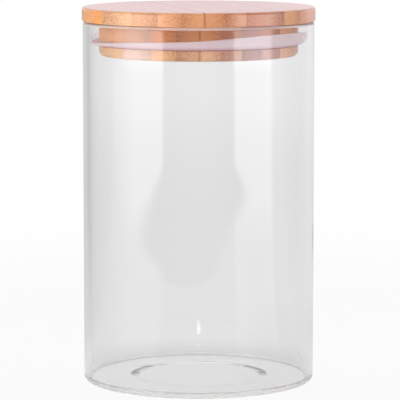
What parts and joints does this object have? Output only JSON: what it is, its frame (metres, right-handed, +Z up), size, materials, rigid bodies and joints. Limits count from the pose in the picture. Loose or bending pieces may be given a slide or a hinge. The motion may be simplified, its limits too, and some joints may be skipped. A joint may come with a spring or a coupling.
{
  "type": "lidded storage canister",
  "caption": "Straight round glass canister closed by a flat laminated bamboo lid, whose grooved plug carries a flared silicone seal; the lid lifts off and turns.",
  "frame": {"origin": "centre of the jar's base, on the surface that it stands on", "axes": "+Z up along the jar's axis to the lid, -Y towards the viewer of the picture, +X to that viewer's right"},
  "size_m": [0.1008, 0.1008, 0.1626],
  "materials": {
    "clear_glass": "clear, fire-polished",
    "milky_silicone": "satin, translucent",
    "bamboo": "sanded, satin oil"
  },
  "bodies": {
    "jar": {"glass_jar": "clear_glass"},
    "seal": {"silicone_seal": "milky_silicone"},
    "lid": {"lid_strip_01": "bamboo", "lid_strip_02": "bamboo", "lid_strip_03": "bamboo", "lid_strip_04": "bamboo", "lid_strip_05": "bamboo", "lid_strip_06": "bamboo", "lid_strip_07": "bamboo", "lid_strip_08": "bamboo", "lid_strip_09": "bamboo", "lid_strip_10": "bamboo", "lid_strip_11": "bamboo", "lid_strip_12": "bamboo"}
  },
  "joints": [
    {"name": "lid_lift", "type": "slide", "parent": "jar", "child": "seal", "axis": [0, 0, 1], "range_m": [0, 0.1]},
    {"name": "lid_turn", "type": "hinge", "parent": "seal", "child": "lid", "pos_m": [0, 0, 0.15], "axis": [0, 0, 1], "continuous": true}
  ]
}
